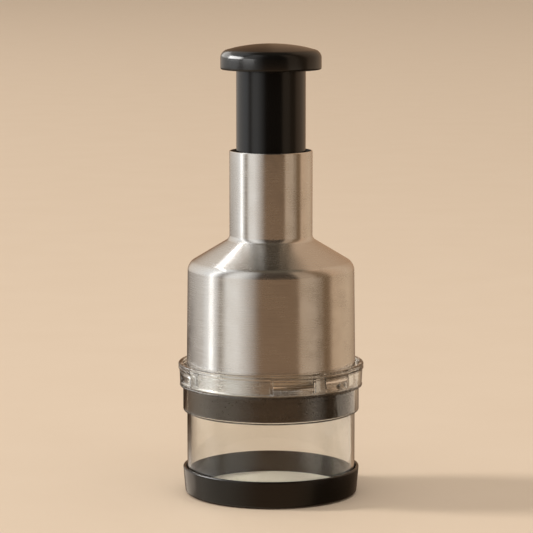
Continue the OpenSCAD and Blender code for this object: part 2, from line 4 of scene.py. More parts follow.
import bmesh
import bpy
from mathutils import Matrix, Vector


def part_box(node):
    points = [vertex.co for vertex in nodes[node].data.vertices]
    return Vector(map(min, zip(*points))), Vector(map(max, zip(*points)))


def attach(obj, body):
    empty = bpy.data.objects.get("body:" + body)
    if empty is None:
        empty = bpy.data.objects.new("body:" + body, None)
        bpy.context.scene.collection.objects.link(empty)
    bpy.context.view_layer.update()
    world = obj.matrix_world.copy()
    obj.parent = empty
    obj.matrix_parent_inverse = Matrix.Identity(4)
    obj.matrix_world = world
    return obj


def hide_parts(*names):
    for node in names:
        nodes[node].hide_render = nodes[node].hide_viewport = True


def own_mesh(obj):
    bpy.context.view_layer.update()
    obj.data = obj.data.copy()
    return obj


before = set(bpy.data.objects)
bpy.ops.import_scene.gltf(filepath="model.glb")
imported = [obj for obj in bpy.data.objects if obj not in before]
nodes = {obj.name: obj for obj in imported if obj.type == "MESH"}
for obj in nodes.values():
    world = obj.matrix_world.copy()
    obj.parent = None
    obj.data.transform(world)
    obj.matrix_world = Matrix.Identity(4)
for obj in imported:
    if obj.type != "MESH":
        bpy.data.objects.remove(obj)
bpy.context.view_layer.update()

# Base cup
# A shallow cup moulded in black polypropylene, pushed over the foot of the chamber.
# Its wall leans out a little so that it leaves the mould, and its rim is rounded over.
MM = 0.001
HAIR = MM / 1e4
WELD = MM / 1000
FULL_TURN = 360


def reach(node):
    """Radius, lowest and highest height of a round CAD node, in millimetres."""
    low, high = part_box(node)
    return high.x / MM, low.z / MM, high.z / MM


def pick(piece, *points):
    """In edit mode, selects only the vertices that lie at one of the points."""
    shape = bmesh.from_edit_mesh(piece.data)
    for vertex in shape.verts:
        vertex.select = min((vertex.co - point).length for point in points) < HAIR
    shape.select_flush_mode()
    bmesh.update_edit_mesh(piece.data)


def turned(name, outline, span=FULL_TURN, start=0, steps=192, arc=8, crease=32):
    """Draws an outline of (radius, height, rounding) as a wire, rounds its corners and spins it about Z.

    Sizes are in millimetres. An outline that starts on the axis stays open there. A span under a full turn
    gives a closed sector that begins at the angle start. steps is the number of faces round the axis, and
    arc the number in each rounding. Edges that bend by more than crease degrees stay sharp.
    """
    bpy.ops.object.select_all(action="DESELECT")
    bpy.ops.mesh.primitive_plane_add(size=MM)
    piece = bpy.context.active_object
    piece.name = name
    bpy.ops.object.mode_set(mode="EDIT")
    bpy.ops.mesh.select_all(action="SELECT")
    bpy.ops.mesh.merge(type="CENTER")
    corners = [Vector((radius * MM, 0, height * MM)) for radius, height, _ in outline]
    bpy.ops.transform.translate(value=corners[0])
    for here, there in zip(corners, corners[1:]):
        bpy.ops.mesh.extrude_vertices_move(TRANSFORM_OT_translate={"value": there - here})
    if corners[0].x > 0:
        pick(piece, corners[0], corners[-1])
        bpy.ops.mesh.edge_face_add()
    for k, corner in enumerate(corners):
        rounding = outline[k][2]
        if rounding:
            before = corners[k - 1] - corner
            after = corners[(k + 1) % len(corners)] - corner
            pick(piece, corner)
            tangent = rounding * MM / math.tan(before.angle(after) / 2)
            bpy.ops.mesh.bevel(offset=tangent, segments=arc, affect="VERTICES")
    bpy.ops.mesh.select_all(action="SELECT")
    if span < FULL_TURN:
        bpy.ops.mesh.edge_face_add()
    bpy.ops.mesh.spin(steps=steps, angle=math.radians(span), center=(0, 0, 0), axis=(0, 0, -1))
    bpy.ops.mesh.select_all(action="SELECT")
    bpy.ops.mesh.remove_doubles(threshold=WELD)
    bpy.ops.mesh.normals_make_consistent(inside=False)
    bpy.ops.object.mode_set(mode="OBJECT")
    piece.rotation_euler.z = math.radians(start)
    bpy.ops.object.transform_apply(rotation=True)
    bpy.ops.object.shade_smooth_by_angle(angle=math.radians(crease))
    return piece


def linear(code):
    """An sRGB hex colour as linear red, green, blue and alpha."""
    parts = [int(code[k:k + 2], 16) / 255 for k in (1, 3, 5)]
    return [c / 12.92 if c <= 0.04045 else ((c + 0.055) / 1.055) ** 2.4 for c in parts] + [1]


def add_node(tree, kind, inputs=None, **settings):
    """Adds a node with its settings, and sets or links its inputs by name or number."""
    node = tree.nodes.new(kind)
    for field, value in settings.items():
        setattr(node, field, value)
    for key, value in (inputs or {}).items():
        if isinstance(value, bpy.types.NodeSocket):
            tree.links.new(value, node.inputs[key])
        else:
            node.inputs[key].default_value = value
    return node


def new_material(name):
    """An empty material with its node tree and the piece's own coordinates."""
    material = bpy.data.materials.new(name)
    material.use_nodes = True
    material.node_tree.nodes.clear()
    coords = add_node(material.node_tree, "ShaderNodeTexCoord").outputs["Object"]
    return material, material.node_tree, coords


PLASTIC_IOR = 1.49


def moulded_plastic(name, deep, pale, roughness, grit, dent):
    """Moulded plastic: an even colour with a faint cloud, and the fine grit of an eroded mould.

    grit is the size of a grain in millimetres and dent its depth. Real grit is about 0.1 mm: it is drawn
    coarser so that it shows.
    """
    cloud_size = 18 * MM
    gloss_swing = 0.05
    material, tree, coords = new_material(name)
    cloud = add_node(tree, "ShaderNodeTexNoise", {"Vector": coords, "Scale": 1 / cloud_size, "Detail": 3})
    colour = add_node(tree, "ShaderNodeMix", {
        "Factor": cloud.outputs["Fac"], 6: linear(deep), 7: linear(pale),
    }, data_type="RGBA")
    grain = add_node(tree, "ShaderNodeTexNoise", {"Vector": coords, "Scale": 1 / (grit * MM), "Detail": 2})
    gloss = add_node(tree, "ShaderNodeMapRange", {
        "Value": grain.outputs["Fac"], "To Min": roughness - gloss_swing, "To Max": roughness + gloss_swing,
    })
    bump = add_node(tree, "ShaderNodeBump", {
        "Height": grain.outputs["Fac"], "Strength": 0.25, "Distance": dent * MM,
    })
    surface = add_node(tree, "ShaderNodeBsdfPrincipled", {
        "Base Color": colour.outputs[2], "Roughness": gloss.outputs["Result"], "IOR": PLASTIC_IOR,
        "Normal": bump.outputs["Normal"],
    })
    add_node(tree, "ShaderNodeOutputMaterial", {"Surface": surface.outputs["BSDF"]})
    return material


def dress(piece, material):
    """Gives a piece one material in place of any that it has."""
    piece.data.materials.clear()
    piece.data.materials.append(material)


def fit_piece(piece, body, slot, material, *replaced):
    """Gives a new piece its finish, its body and the CAD nodes that it stands for."""
    dress(piece, material)
    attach(piece, body)
    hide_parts(*replaced)


# Black polypropylene with a satin mould finish: a deep neutral black with broad, soft highlights.
satin_black = moulded_plastic("satin_black_polypropylene", "#050505", "#080808", 0.2, 0.5, 0.006)

base_r, base_low, base_high = reach("base_cup")
chamber_r, chamber_low, chamber_high = reach("chamber")
foot_r, foot_low, foot_high = reach("foot_ring")
wall_r = 41.1
base_draft = 1.15
base_gap = 0.6
hollow_deep = 0.6
hollow_margin = 9
foot_w = 4
foot_fit = 0.05
foot_in = foot_r - foot_w
base_cup = turned("base_cup_moulding", [
    (0, base_low + hollow_deep, 0),
    (foot_in - hollow_margin - hollow_deep, base_low + hollow_deep, 0.4),
    (foot_in - hollow_margin, base_low, 0.2),
    (foot_in - foot_fit, base_low, 0.15),
    (foot_in - foot_fit, foot_high, 0),
    (foot_r + foot_fit, foot_high, 0),
    (foot_r + foot_fit, base_low, 0.15),
    (base_r - base_draft, base_low, 1.2),
    (base_r, base_high, 0.55),
    (wall_r + base_gap, base_high, 0.45),
    (wall_r + base_gap / 2, chamber_low, 0.2),
    (0, chamber_low, 0),
])
fit_piece(base_cup, "base", "black_plastic", satin_black, "base_cup")

# Foot ring
# A ring of soft black rubber pressed into a groove under the base, so that the chopper stays put.
# It stands half a millimetre proud and has two shallow grooves that grip the table.
foot_groove = 0.3
foot_groove_half = 0.04 * foot_w


def groove(radius, height, half, deep, edge=0, root=0):
    """Points of a V-shaped groove in a flat face: its middle, half its width, its depth and its roundings.

    With a negative half the points run inwards, and a negative depth cuts down from above.
    """
    return [(radius - half, height, edge), (radius, height + deep, root), (radius + half, height, edge)]


foot_ring = turned("foot_ring_rubber", [
    (foot_in, foot_low, 0.25),
    *groove(foot_r - 0.62 * foot_w, foot_low, foot_groove_half, foot_groove),
    *groove(foot_r - 0.38 * foot_w, foot_low, foot_groove_half, foot_groove),
    (foot_r, foot_low, 0.25),
    (foot_r, foot_high, 0.1),
    (foot_in, foot_high, 0.1),
], arc=4)

# Moulded rubber: dark grey and dull, with a soft, grainy face.
foot_rubber = moulded_plastic("foot_rubber", "#1d1c1b", "#252423", 0.78, 0.7, 0.05)
fit_piece(foot_ring, "base", "foot_rubber", foot_rubber, "foot_ring")

# Cutting board
# A loose disc of natural white polyethylene that lies in the base and takes the blades' edges.
# It is turned from sheet: its upper edge is rounded over, and a fine groove runs round its face.
board_r, board_low, board_high = reach("cutting_board")
board_margin = 3.4
board = turned("cutting_board_disc", [
    (0, board_low, 0),
    (board_r, board_low, 0.2),
    (board_r, board_high, 0.5),
    *groove(board_r - board_margin, board_high, half=-0.4, deep=-0.3, edge=0.2, root=0.2),
    (0, board_high, 0),
], arc=4)

# Pressed polyethylene: milky white and half dull, with a mat face.
board_plastic = moulded_plastic("natural_polyethylene", "#d8d3c6", "#e4dfd4", 0.5, 0.9, 0.04)
fit_piece(board, "base", "board_plastic", board_plastic, "cutting_board")

# Clear chamber
# A cup without a floor, injection moulded in clear acrylic: a plain lower wall, a wider seat
# for the blade guard, and a flared collar with beaded edges and three bayonet tracks moulded inside it.
clear_wall = 1.8
seat_wide = 1.95
guard_deep = 12.5
ledge_t = 1
ledge_lean = 0.4
collar_h = 11.5
collar_floor = 1
collar_wall = 1.3
collar_flare = 0.4
lip_h = 3.2
lip_out = 0.5
lip_bead = lip_h / 4
foot_bead = 0.6
foot_bead_out = 0.25
shell_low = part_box("steel_shell")[0].z / MM
ledge = shell_low - guard_deep
seat_r = wall_r + seat_wide
collar_low = chamber_high - collar_h
collar_seat = collar_low + collar_floor
collar_out = chamber_r - lip_out - collar_flare
collar_in = collar_out - collar_wall


def bead(radius, height, size, low, high, steps=10):
    """Points of a round bead of that size: its outermost radius, its middle's height and its arc's angles."""
    turns = (math.radians(low + (high - low) * k / steps) for k in range(steps + 1))
    return [(radius - size * (1 - math.cos(turn)), height + size * math.sin(turn), 0) for turn in turns]


chamber = turned("clear_chamber", [
    (wall_r - clear_wall, chamber_low, 0.3),
    (wall_r, chamber_low, 0.6),
    (wall_r, ledge - ledge_t, 0.5),
    (seat_r, ledge - ledge_t + ledge_lean, 0.9),
    (seat_r, collar_low, 0.35),
    *bead(collar_out + foot_bead_out, collar_low + foot_bead, foot_bead, -90, 54),
    *bead(chamber_r, chamber_high - 3 * lip_bead, lip_bead, -68, 62),
    *bead(chamber_r, chamber_high - lip_bead, lip_bead, -62, 90),
    (collar_in, chamber_high, 0.4),
    (collar_in, collar_seat, 0.25),
    (seat_r - clear_wall, collar_seat, 0.25),
    (seat_r - clear_wall, ledge, 0.2),
    (wall_r - clear_wall, ledge, 0.3),
], steps=256)

# Each track has a roof over the locked stud, a guide rib that leads up to its gap, and three posts.
# One track is modelled and copied round the collar. Its angles are in degrees from the front.
FRONT = -90
stud_count = 3
copy_turns = [FULL_TURN / stud_count * k for k in range(1, stud_count)]
stud_turn = 53
lock_turn = 20
guide_turn = 29
stud_rise = 3.5
stud_r = 2.2
stud_head = 1.3
stud_gap = 0.35
rib_t = 0.8
rib_sunk = 0.4
rib_round = 0.25
rib_edge = 0.2
post_t = 1.5 * rib_t
shell_fit = 0.1
shell_r = seat_r - clear_wall + shell_fit
stud_z = collar_seat + stud_rise
half_head = math.degrees(math.asin((stud_r + stud_gap) / shell_r))
post_turn = math.degrees(math.asin(post_t / shell_r))
gap_low = stud_turn - lock_turn - half_head
gap_high = stud_turn - lock_turn + half_head
stop_turn = stud_turn + half_head
guide_low = gap_low - guide_turn
roof_z = stud_z + stud_r + stud_gap
rib_in = shell_r + stud_head - 2 * stud_gap
rib_out = collar_in + rib_sunk
rib_spans = [
    (rib_in, roof_z, roof_z + rib_t, gap_high, stop_turn + post_turn / 2),
    (rib_in, stud_z - rib_t / 2, stud_z + rib_t / 2, guide_low, gap_low - post_turn / 2),
]
rib_spans += [
    (rib_in - stud_gap / 2, stud_z - stud_r, roof_z + rib_t / 2, low, low + post_turn)
    for low in (stop_turn, gap_low - post_turn, guide_low - post_turn / 2)
]
track = []
for inner, low, high, turn_low, turn_high in rib_spans:
    corners = [(inner, low, rib_round), (rib_out, low, 0), (rib_out, high, 0), (inner, high, rib_round)]
    span = turn_high - turn_low
    rib = turned("track_rib", corners, span, FRONT + turn_low, steps=max(4, round(span)), arc=3)
    soften = rib.modifiers.new("soften", "BEVEL")
    soften.width = rib_edge * MM
    soften.segments = 3
    soften.angle_limit = math.radians(60)
    bpy.ops.object.modifier_apply(modifier=soften.name)
    track.append(rib)


def copy_round(piece, name, turn):
    """A copy of a piece with its own mesh, turned about Z by that many degrees."""
    bpy.ops.object.select_all(action="DESELECT")
    piece.select_set(True)
    bpy.context.view_layer.objects.active = piece
    bpy.ops.object.duplicate()
    twin = bpy.context.active_object
    twin.name = name
    twin.rotation_euler.z = math.radians(turn)
    bpy.ops.object.transform_apply(rotation=True)
    return twin


ribs = track + [copy_round(rib, "track_rib", turn) for turn in copy_turns for rib in track]
for rib in ribs:
    union = chamber.modifiers.new("track", "BOOLEAN")
    union.operation = "UNION"
    union.object = rib
    bpy.context.view_layer.objects.active = chamber
    bpy.ops.object.modifier_apply(modifier=union.name)
    bpy.data.objects.remove(rib)
bpy.ops.object.mode_set(mode="EDIT")
bpy.ops.mesh.select_all(action="SELECT")
bpy.ops.mesh.dissolve_degenerate(threshold=WELD)
bpy.ops.object.mode_set(mode="OBJECT")

# Clear acrylic from a polished mould: high gloss, and a trace of grey in the thickness of the wall.
# Lamps shine through it, so that what stands inside isn't black.
ripple_size = 14 * MM
ripple_deep = 0.1 * MM
clear_plastic, tree, coords = new_material("clear_acrylic")
ripple = add_node(tree, "ShaderNodeTexNoise", {"Vector": coords, "Scale": 1 / ripple_size, "Detail": 1})
flow = add_node(tree, "ShaderNodeBump", {
    "Height": ripple.outputs["Fac"], "Strength": 0.08, "Distance": ripple_deep,
})
glass = add_node(tree, "ShaderNodeBsdfPrincipled", {
    "Base Color": linear("#f3f4f3"), "Roughness": 0.03, "IOR": PLASTIC_IOR, "Transmission Weight": 1.0,
    "Normal": flow.outputs["Normal"],
})
lamp_light = add_node(tree, "ShaderNodeBsdfTransparent", {"Color": linear("#eef0ee")})
ray = add_node(tree, "ShaderNodeLightPath")
clear = add_node(tree, "ShaderNodeMixShader", {
    0: ray.outputs["Is Shadow Ray"], 1: glass.outputs["BSDF"], 2: lamp_light.outputs["BSDF"],
})
add_node(tree, "ShaderNodeOutputMaterial", {"Surface": clear.outputs["Shader"]})
fit_piece(chamber, "chamber", "clear_plastic", clear_plastic, "chamber")

# Blade guard, frame and carrier
# Mouldings of black nylon inside the chamber and the shell: the slotted guard that strips the blades,
# the frame that carries the mechanism, and the carrier that grips the blade strip.
# They keep their solids' shapes.

# Moulded nylon: a warm near-black with a quiet gloss.
inner_black = moulded_plastic("black_nylon", "#1b1511", "#211a15", 0.26, 0.8, 0.003)
for name in ("blade_guard", "inner_frame", "blade_carrier"):
    dress(nodes[name], inner_black)

# Blade strip
# One strip of stainless steel, bent to a zigzag and ground to an edge along its lower side.
# The carrier holds it, and it keeps its solid's shape.

# Ground steel: a bright grey metal that fine upright scratches streak.
# Real scratches are under 0.1 mm wide: they are drawn wider so that they show.
scratch_wide = 0.6 * MM
scratch_tall = 20 * MM
scratch_deep = 0.02 * MM
blade_steel, tree, coords = new_material("ground_blade_steel")
stretch = add_node(tree, "ShaderNodeMapping", {
    "Vector": coords, "Scale": (1 / scratch_wide, 1 / scratch_wide, 1 / scratch_tall),
})
scratch = add_node(tree, "ShaderNodeTexNoise", {
    "Vector": stretch.outputs["Vector"], "Scale": 1.0, "Detail": 3,
})
gloss = add_node(tree, "ShaderNodeMapRange", {
    "Value": scratch.outputs["Fac"], "To Min": 0.16, "To Max": 0.34,
})
bump = add_node(tree, "ShaderNodeBump", {
    "Height": scratch.outputs["Fac"], "Strength": 0.2, "Distance": scratch_deep,
})
surface = add_node(tree, "ShaderNodeBsdfPrincipled", {
    "Base Color": linear("#c6c3be"), "Metallic": 1.0, "Roughness": gloss.outputs["Result"],
    "Normal": bump.outputs["Normal"],
})
add_node(tree, "ShaderNodeOutputMaterial", {"Surface": surface.outputs["BSDF"]})
dress(nodes["blade_strip"], blade_steel)

# Cam sleeve, shaft and fasteners
# The sleeve is natural acetal. Shaft, pins and nut, and the shaft's washer and screw, are bright steel,
# and the frame's screws and the spring's washer are zinc plated. All sit inside the shell and the tube.

# Moulded acetal: an ivory white with a waxy gloss.
cam_plastic = moulded_plastic("natural_acetal", "#cfc9ba", "#dad5c8", 0.42, 0.9, 0.02)
dress(nodes["cam_sleeve"], cam_plastic)


def turned_steel(name, tone, smooth, rough):
    """Steel turned on a lathe: bright, with fine rings round the axis.

    Real rings are about 0.1 mm apart: they are drawn wider so that they show.
    """
    ring_gap = 0.5 * MM
    ring_run = 8 * MM
    material, tree, coords = new_material(name)
    rings = add_node(tree, "ShaderNodeMapping", {
        "Vector": coords, "Scale": (1 / ring_run, 1 / ring_run, 1 / ring_gap),
    })
    marks = add_node(tree, "ShaderNodeTexNoise", {
        "Vector": rings.outputs["Vector"], "Scale": 1.0, "Detail": 2,
    })
    gloss = add_node(tree, "ShaderNodeMapRange", {
        "Value": marks.outputs["Fac"], "To Min": smooth, "To Max": rough,
    })
    surface = add_node(tree, "ShaderNodeBsdfPrincipled", {
        "Base Color": linear(tone), "Metallic": 1.0, "Roughness": gloss.outputs["Result"],
    })
    add_node(tree, "ShaderNodeOutputMaterial", {"Surface": surface.outputs["BSDF"]})
    return material


# Turned steel mirrors brightly in fine rings, and zinc plating is greyer and duller.
bright_steel = turned_steel("bright_turned_steel", "#bdb9b2", 0.18, 0.3)
plated_steel = turned_steel("zinc_plated_steel", "#a9a69f", 0.28, 0.42)
for name in ("plunger_shaft", "shaft_nut", "shaft_washer", "shaft_screw", "cam_pins"):
    dress(nodes[name], bright_steel)
for name in ("frame_screws", "spring_washer"):
    dress(nodes[name], plated_steel)

# Return spring
# A coil of round spring wire round the cam sleeve that lifts the plunger after each stroke.
spring_out, spring_low, spring_high = reach("return_spring")
spring_turns = 11
turn_steps = 36
wire_d = 1.8
wire_sides = 14
bpy.ops.object.select_all(action="DESELECT")
bpy.ops.mesh.primitive_circle_add(
    vertices=wire_sides, radius=wire_d / 2 * MM, rotation=(math.pi / 2, 0, 0),
    location=((spring_out - wire_d / 2) * MM, 0, (spring_low + wire_d / 2) * MM))
spring = bpy.context.active_object
spring.name = "return_spring_wire"
bpy.ops.object.transform_apply(location=True, rotation=True)
coil = spring.modifiers.new("coil", "SCREW")
coil.iterations = spring_turns
coil.screw_offset = (spring_high - spring_low - wire_d) / spring_turns * MM
coil.steps = turn_steps
coil.render_steps = turn_steps
coil.use_merge_vertices = True
bpy.ops.object.modifier_apply(modifier=coil.name)
bpy.ops.object.mode_set(mode="EDIT")
bpy.ops.mesh.select_all(action="SELECT")
bpy.ops.mesh.fill_holes(sides=wire_sides)
bpy.ops.mesh.normals_make_consistent(inside=False)
bpy.ops.object.mode_set(mode="OBJECT")
bpy.ops.object.shade_smooth_by_angle(angle=math.radians(40))
fit_piece(spring, "housing", "plated_steel", plated_steel, "return_spring")
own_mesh(spring)

# Steel shell
# Body, shoulder and neck drawn from one sheet of stainless steel and brushed on a lathe, so the brush lines
# run round the axis. Its lower edge is hemmed outwards and stands on the seat in the chamber's collar.
hem_r, _, neck_top = reach("steel_shell")
bush_r = reach("neck_bush")[0]
frame_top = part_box("inner_frame")[1].z / MM
sheet = 0.8
hem_h = 1
shell_draft = 0.75
shoulder_up = 8.4
shoulder_rise = 12.3
shoulder_round = 5.5
neck_round = 3
bush_fit = 0.05
neck_r = bush_r + bush_fit + sheet
shoulder_r = shell_r - shell_draft
shoulder_z = frame_top + shoulder_up
neck_z = shoulder_z + shoulder_rise
slope = math.atan2(shoulder_r - neck_r, shoulder_rise)
drop = sheet * math.tan(slope / 2)
shell = turned("steel_shell_drawn", [
    (hem_r, shell_low, 0.35),
    (hem_r, shell_low + hem_h, 0.35),
    (shell_r, shell_low + hem_h, 0.2),
    (shoulder_r, shoulder_z, shoulder_round),
    (neck_r, neck_z, neck_round),
    (neck_r, neck_top, 0.5),
    (neck_r - sheet, neck_top, 0.25),
    (neck_r - sheet, neck_z - drop, neck_round + sheet),
    (shoulder_r - sheet, shoulder_z - drop, shoulder_round - sheet),
    (shell_r - sheet, shell_low, 0.1),
], steps=256, arc=12)

# Brushed stainless steel: a grey metal whose brush lines draw every reflection out along the axis.
# Real lines are about 0.1 mm apart: they are drawn wider so that they show. Each runs for about 20 degrees.
# The inside, where the normal points at the axis, stays dull, as it was drawn, and its dark grey tone is
# painted shade that keeps the neck's gap dark.
line_gap = 0.4 * MM
line_deep = 0.04 * MM
lines_per_radian = 3.0
cloud_size = 9 * MM
shaded_inside_limit = -4 * MM
brushed_steel, tree, coords = new_material("brushed_stainless_steel")
place = add_node(tree, "ShaderNodeSeparateXYZ", {"Vector": coords})
turn = add_node(tree, "ShaderNodeMath", {
    0: place.outputs["Y"], 1: place.outputs["X"],
}, operation="ARCTAN2")
along = add_node(tree, "ShaderNodeMath", {
    0: turn.outputs["Value"], 1: lines_per_radian,
}, operation="MULTIPLY")
flat = add_node(tree, "ShaderNodeCombineXYZ", {"X": place.outputs["X"], "Y": place.outputs["Y"]})
radius = add_node(tree, "ShaderNodeVectorMath", {0: flat.outputs["Vector"]}, operation="LENGTH")
slant = add_node(tree, "ShaderNodeMath", {
    0: place.outputs["Z"], 1: radius.outputs["Value"],
}, operation="SUBTRACT")
across = add_node(tree, "ShaderNodeMath", {
    0: slant.outputs["Value"], 1: 1 / line_gap,
}, operation="MULTIPLY")
lay = add_node(tree, "ShaderNodeCombineXYZ", {"X": along.outputs["Value"], "Y": across.outputs["Value"]})
lines = add_node(tree, "ShaderNodeTexNoise", {"Vector": lay.outputs["Vector"], "Scale": 1.0, "Detail": 4})
cloud = add_node(tree, "ShaderNodeTexNoise", {"Vector": coords, "Scale": 1 / cloud_size, "Detail": 3})
colour = add_node(tree, "ShaderNodeMix", {
    "Factor": lines.outputs["Fac"], 6: linear("#d0ceca"), 7: linear("#e8e7e5"),
}, data_type="RGBA")
mixed = add_node(tree, "ShaderNodeMath", {
    0: lines.outputs["Fac"], 1: cloud.outputs["Fac"],
}, operation="MULTIPLY")
gloss = add_node(tree, "ShaderNodeMapRange", {
    "Value": mixed.outputs["Value"], "From Min": 0.12, "From Max": 0.4, "To Min": 0.18, "To Max": 0.3,
})
outward = add_node(tree, "ShaderNodeVectorMath", {
    0: coords.node.outputs["Normal"], 1: flat.outputs["Vector"],
}, operation="DOT_PRODUCT")
inside = add_node(tree, "ShaderNodeMath", {
    0: outward.outputs["Value"], 1: shaded_inside_limit,
}, operation="LESS_THAN")
# Inside faces take a dark grey: painted shade in the gap round the tube, on top of the dull unbrushed side.
tone = add_node(tree, "ShaderNodeMix", {
    "Factor": inside.outputs["Value"], 6: colour.outputs[2], 7: linear("#4b4640"),
}, data_type="RGBA")
sheen = add_node(tree, "ShaderNodeMix", {
    "Factor": inside.outputs["Value"], 2: gloss.outputs["Result"], 3: 0.55,
})
bump = add_node(tree, "ShaderNodeBump", {
    "Height": lines.outputs["Fac"], "Strength": 0.12, "Distance": line_deep,
})
axis = add_node(tree, "ShaderNodeTangent", direction_type="RADIAL", axis="Z")
surface = add_node(tree, "ShaderNodeBsdfPrincipled", {
    "Base Color": tone.outputs[2], "Metallic": 1.0, "Roughness": sheen.outputs[0],
    "Anisotropic": 0.9, "Anisotropic Rotation": 0.25, "Tangent": axis.outputs["Tangent"],
    "Normal": bump.outputs["Normal"],
})
add_node(tree, "ShaderNodeOutputMaterial", {"Surface": surface.outputs["BSDF"]})
fit_piece(shell, "housing", "brushed_shell", brushed_steel, "steel_shell")

# Bayonet studs
# Three steel rivets that hold the shell on its frame. Their round heads stand out into the collar's tracks.
# Each head is slightly domed by the riveting tool.
shank_r = 1.1
shank_past = 0.6
head_sunk = 0.02
head_dome = 0.3
stud_in = shell_r - sheet - shank_past
head_in = shell_r - head_sunk
stud = turned("bayonet_stud_1", [
    (0, stud_in, 0),
    (shank_r, stud_in, 0.2),
    (shank_r, head_in, 0),
    (stud_r, head_in, 0.15),
    (stud_r, shell_r + stud_head - head_dome, 0.3),
    (0, shell_r + stud_head, 0),
], steps=48, arc=4)
stud.rotation_euler = (0, math.pi / 2, math.radians(FRONT + stud_turn))
stud.location.z = stud_z * MM
bpy.ops.object.transform_apply(location=True, rotation=True)
studs = [stud]
for turn in copy_turns:
    studs.append(copy_round(stud, "bayonet_stud_%d" % (len(studs) + 1), turn))
for stud in studs:
    fit_piece(stud, "housing", "bright_steel", bright_steel, "bayonet_studs")

# Neck bush
# A plain black ring inside the neck that guides the plunger.
# Only its upper end shows, down in the gap between neck and tube.
dress(nodes["neck_bush"], inner_black)

# Plunger tube
# A tube moulded in the same satin black plastic as the knob. A stop lip below keeps it in the neck,
# and a web across it carries the shaft.
tube_out, tube_low, tube_high = reach("plunger_tube")
stop_out = 1.4
stop_h = 2.5
tube_wall = 1.75
web_t = 3
shaft_hole = 2.15
tube_r = tube_out - stop_out
tube_in = tube_r - tube_wall
web_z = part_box("shaft_nut")[0].z / MM
tube = turned("plunger_tube_moulding", [
    (tube_in, tube_low, 0.3),
    (tube_out, tube_low, 0.4),
    (tube_out, tube_low + stop_h, 0.4),
    (tube_r, tube_low + stop_h, 0.2),
    (tube_r, tube_high, 0.3),
    (tube_in, tube_high, 0.3),
    (tube_in, web_z, 0.4),
    (shaft_hole, web_z, 0.1),
    (shaft_hole, web_z - web_t, 0.1),
    (tube_in, web_z - web_t, 0.4),
], arc=5)
fit_piece(tube, "plunger", "black_plastic", satin_black, "plunger_tube")

# Palm knob
# A broad mushroom knob of satin black plastic, pushed over the top of the tube.
# Its top is a low dome that runs into a wide rounded edge, and a fine groove runs round its flat underside.
knob_r, knob_low, knob_high = reach("push_knob")
knob_side = 8.8
knob_round = 4
knob_margin = 3.9
socket_fit = 0.05
dome_share = 0.7
dome_steps = 12
socket_r = tube_r + socket_fit
knob_dome = knob_high - knob_low - knob_side
dome_r = (knob_r ** 2 + knob_dome ** 2) / (2 * knob_dome)
dome_turn = math.asin(dome_share * knob_r / dome_r)
dome = []
for k in range(dome_steps, 0, -1):
    lean = dome_turn * k / dome_steps
    dome.append((dome_r * math.sin(lean), knob_high - dome_r * (1 - math.cos(lean)), 0))
knob = turned("palm_knob", [
    (socket_r, tube_high, 0),
    (socket_r, knob_low, 0.3),
    *groove(knob_r - knob_margin, knob_low, half=0.5, deep=0.5, edge=0.3),
    (knob_r, knob_low, 1),
    (knob_r, knob_low + knob_side, knob_round),
    *dome,
    (0, knob_high, 0),
    (0, tube_high, 0),
], arc=12)
fit_piece(knob, "plunger", "black_plastic", satin_black, "push_knob")

# Camera
# Stands in front of the chopper and a little above it, with a long lens, as the photograph was taken.
# The picture is shifted a few of its points sideways, because the chopper isn't quite in its middle.
picture_points = 533
points_aside = -4.5
camera_data = bpy.data.cameras.new("camera")
camera_data.lens = 176.1
camera_data.sensor_width = 36
camera_data.shift_x = points_aside / picture_points
camera = bpy.data.objects.new("camera", camera_data)
camera.location = (0, -1.2614, 0.2755)
camera.rotation_euler = (math.radians(82.6), 0, 0)
bpy.context.scene.collection.objects.link(camera)
bpy.context.scene.camera = camera

# Floor and light
# A plain pale floor that runs out of view, a far soft lamp high on the left and a weak fill from above.
# What shines mirrors a room of upright bands, pale on the left, brown behind the camera and tan on the right,
# with the chopper's own shadow painted into its floor on the right.
# Cards that only single pieces mirror give these their streaks and bright edges.
floor_size = 60
bpy.ops.object.select_all(action="DESELECT")
bpy.ops.mesh.primitive_plane_add(size=floor_size)
floor = bpy.context.active_object
floor.name = "floor"

# Matt paint: a pale warm tone with a faint mottle.
mottle_size = 60 * MM
floor_paint, tree, coords = new_material("pale_floor")
mottle = add_node(tree, "ShaderNodeTexNoise", {"Vector": coords, "Scale": 1 / mottle_size, "Detail": 4})
colour = add_node(tree, "ShaderNodeMix", {
    "Factor": mottle.outputs["Fac"], 6: linear("#d8cab8"), 7: linear("#dccfbe"),
}, data_type="RGBA")
surface = add_node(tree, "ShaderNodeBsdfPrincipled", {"Base Color": colour.outputs[2], "Roughness": 0.7})
gone = add_node(tree, "ShaderNodeBsdfTransparent")


def was_mirrored(tree):
    """1 for a ray that metal, plastic or a clear wall has mirrored, otherwise 0."""
    ray = add_node(tree, "ShaderNodeLightPath")
    over = add_node(tree, "ShaderNodeMath", {
        0: ray.outputs["Glossy Depth"], 1: 0.5,
    }, operation="GREATER_THAN")
    return over.outputs["Value"]


# Mirrors show the room in place of the floor, so that their bands run on below the horizon.
paint = add_node(tree, "ShaderNodeMixShader", {
    0: was_mirrored(tree), 1: surface.outputs["BSDF"], 2: gone.outputs["BSDF"],
})
add_node(tree, "ShaderNodeOutputMaterial", {"Surface": paint.outputs["Shader"]})
dress(floor, floor_paint)


